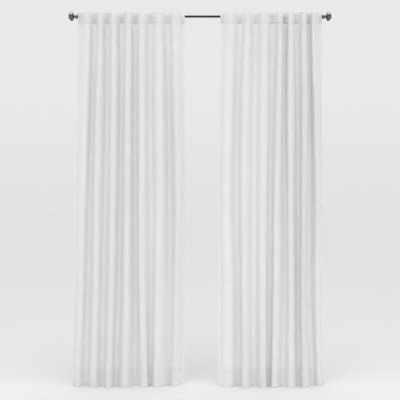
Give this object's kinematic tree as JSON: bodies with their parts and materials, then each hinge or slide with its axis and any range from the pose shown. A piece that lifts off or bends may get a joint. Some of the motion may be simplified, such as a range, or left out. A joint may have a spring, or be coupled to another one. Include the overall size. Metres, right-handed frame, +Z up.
{
  "type": "pair of curtain panels on a curtain rod",
  "caption": "White linen-look curtain panels hung in soft uneven folds by hidden back tabs from a slim dark rod with turned end knobs.",
  "frame": {"origin": "middle of the back face of the left wall plate, on the wall and level with the rod's axis", "axes": "+Z up, +Y into the wall, +X along the wall to the right as seen from the room"},
  "size_m": [1.513, 0.1561, 2.15],
  "materials": {
    "white_linen": "plain weave linen look, light filtering",
    "white_tape": "plain cotton tape",
    "dark_bronze": "satin dark bronze",
    "polished_bronze": "gloss dark bronze",
    "dark_bracket": "matt dark bronze"
  },
  "bodies": {
    "root": {"panel_left": "white_linen", "panel_right": "white_linen", "tab_left_1": "white_tape", "tab_left_2": "white_tape", "tab_left_3": "white_tape", "tab_left_4": "white_tape", "tab_left_5": "white_tape", "tab_left_6": "white_tape", "tab_left_7": "white_tape", "tab_left_8": "white_tape", "tab_right_1": "white_tape", "tab_right_2": "white_tape", "tab_right_3": "white_tape", "tab_right_4": "white_tape", "tab_right_5": "white_tape", "tab_right_6": "white_tape", "tab_right_7": "white_tape", "tab_right_8": "white_tape", "rod": "dark_bronze", "finial_left": "polished_bronze", "finial_right": "polished_bronze", "bracket_left": "dark_bracket", "bracket_right": "dark_bracket"}
  },
  "joints": []
}
